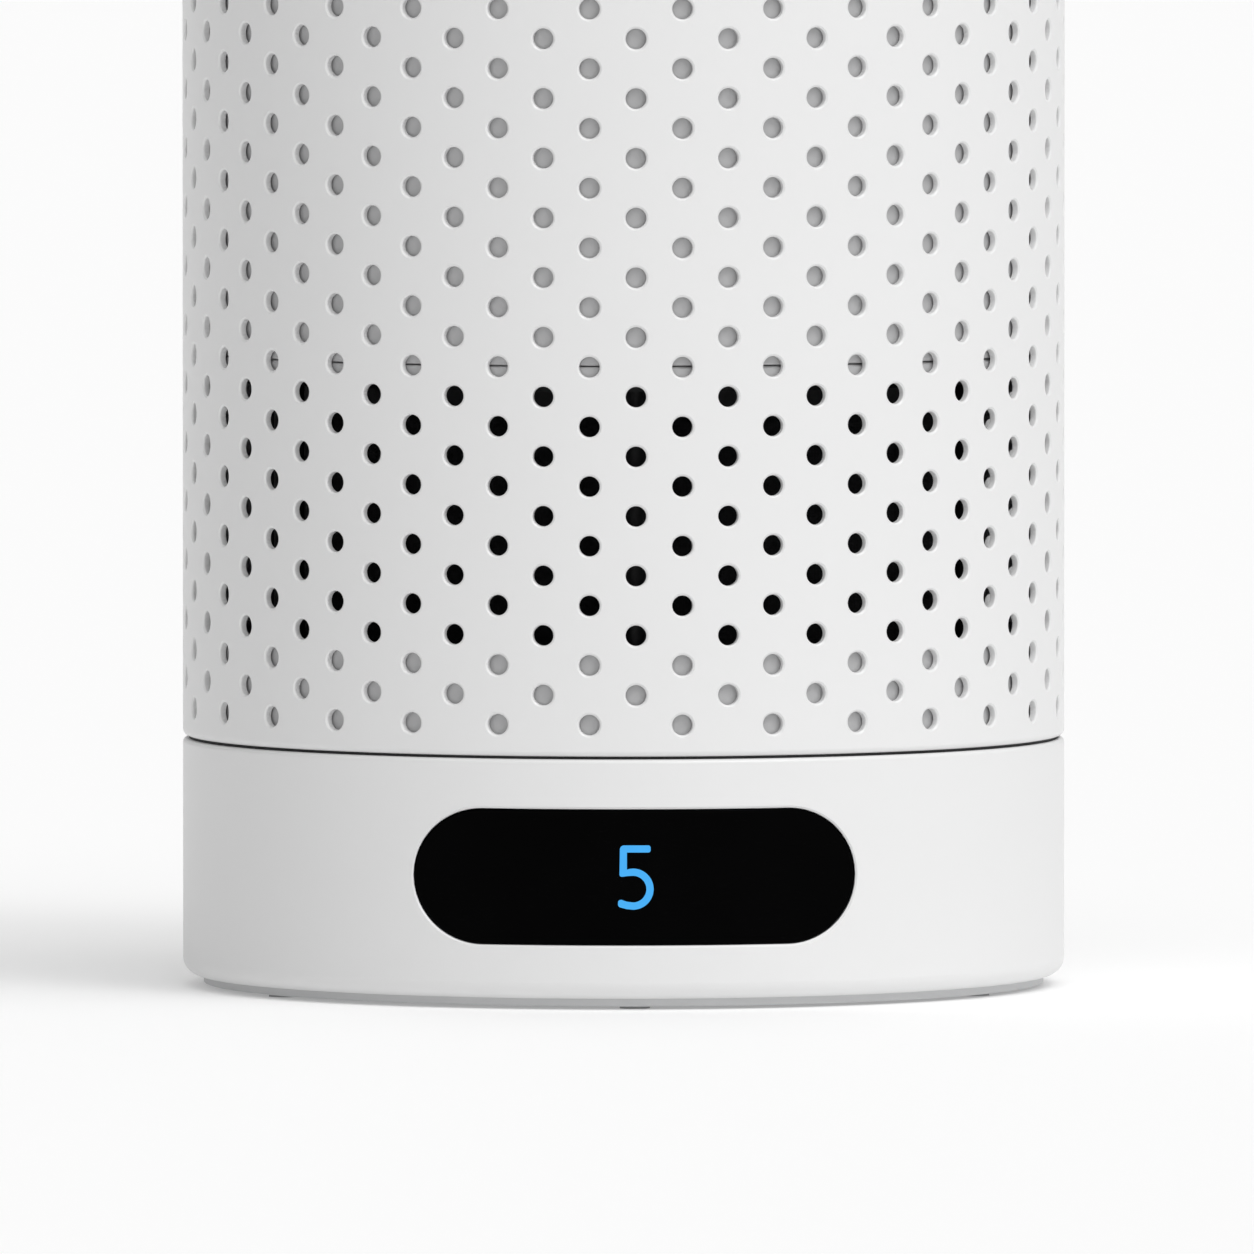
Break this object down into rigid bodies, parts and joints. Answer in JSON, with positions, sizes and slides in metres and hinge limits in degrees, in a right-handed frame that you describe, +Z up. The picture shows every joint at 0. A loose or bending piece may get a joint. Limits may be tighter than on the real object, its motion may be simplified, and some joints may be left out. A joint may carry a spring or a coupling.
{
  "type": "air purifier",
  "caption": "Cylindrical tabletop air purifier with a perforated intake shell, ring filter, fan, display window in the base and round outlet grille on top.",
  "frame": {"origin": "centre of the footprint, on the ground plane", "axes": "+Z up along the body axis, -Y towards the front (the display), +X to the right seen from the front"},
  "size_m": [0.2, 0.2, 0.33],
  "materials": {
    "white_plastic": "fine satin texture",
    "grey_plastic": "satin",
    "black_plastic": "satin",
    "liner_plastic": "matt moulded",
    "button_plastic": "satin",
    "display_window": "polished black",
    "lit_digit": "lit pale blue",
    "led_plastic": "matt",
    "rubber": "matt",
    "pad_rubber": "matt",
    "circuit_board": "lacquered",
    "steel": "plated",
    "copper_wire": "lacquered copper",
    "magnet": "dark ferrite",
    "cable_jacket": "satin",
    "filter_cap": "matt",
    "hepa_paper": "pleated fibre paper",
    "carbon": "carbon granules in fleece",
    "mesh_fabric": "woven nylon mesh",
    "pull_tab": "woven ribbon",
    "impeller_plastic": "glass-filled, matt"
  },
  "bodies": {
    "main_unit": {"rubber_feet": "pad_rubber", "foot_ring": "grey_plastic", "foot_screws": "steel", "base_housing": "white_plastic", "display_gasket": "rubber", "display_lens": "display_window", "display_digit": "lit_digit", "led_module": "led_plastic", "display_board": "circuit_board", "display_screws": "steel", "ribbon_cable": "cable_jacket", "control_board": "circuit_board", "board_parts": "black_plastic", "dc_inlet": "black_plastic", "dc_pin": "steel", "dust_sensor": "steel", "keeper_plates": "steel", "inner_collar": "liner_plastic", "lower_seal": "rubber", "intake_frame": "black_plastic", "frame_screws": "steel", "perforated_shell": "white_plastic", "fan_deck": "liner_plastic", "deck_screws": "steel", "upper_liner": "liner_plastic", "motor_lead": "cable_jacket", "motor_mount": "liner_plastic", "mount_screws": "steel", "stator_core": "steel", "stator_coils": "copper_wire", "motor_bearings": "steel", "motor_board": "circuit_board", "air_guide": "liner_plastic", "upper_seal": "rubber", "top_ring": "white_plastic", "top_screws": "steel", "outlet_grille": "white_plastic", "control_cap": "white_plastic", "button_lead": "cable_jacket", "button_board": "circuit_board", "tact_switch": "black_plastic"},
    "impeller_assembly": {"impeller": "impeller_plastic", "rotor_cup": "steel", "rotor_magnets": "magnet", "motor_shaft": "steel", "impeller_nut": "steel"},
    "button": {"power_button": "button_plastic", "switch_plunger": "button_plastic"},
    "cover": {"bottom_cover": "grey_plastic", "cover_magnets": "magnet"},
    "filter": {"filter_base_cap": "filter_cap", "filter_top_cap": "filter_cap", "hepa_pleats": "hepa_paper", "carbon_layer": "carbon", "prefilter_mesh": "mesh_fabric", "filter_seal": "rubber", "filter_pull_tab": "pull_tab"}
  },
  "joints": [
    {"name": "impeller_spin", "type": "hinge", "parent": "main_unit", "child": "impeller_assembly", "pos_m": [0, 0, 0.18], "axis": [0, 0, 1], "continuous": true},
    {"name": "power_button_press", "type": "slide", "parent": "main_unit", "child": "button", "axis": [0, 0, -1], "range_m": [0, 0.001], "stiffness_N_per_m": 1200, "springref_m": -0.0005},
    {"name": "cover_drop", "type": "slide", "parent": "main_unit", "child": "cover", "axis": [0, 0, -1], "range_m": [0, 0.2]},
    {"name": "filter_drop", "type": "slide", "parent": "main_unit", "child": "filter", "axis": [0, 0, -1], "range_m": [0, 0.11]}
  ],
  "couplings": [
    {"joint": "filter_drop", "follows": "cover_drop", "ratio": 0.55}
  ]
}
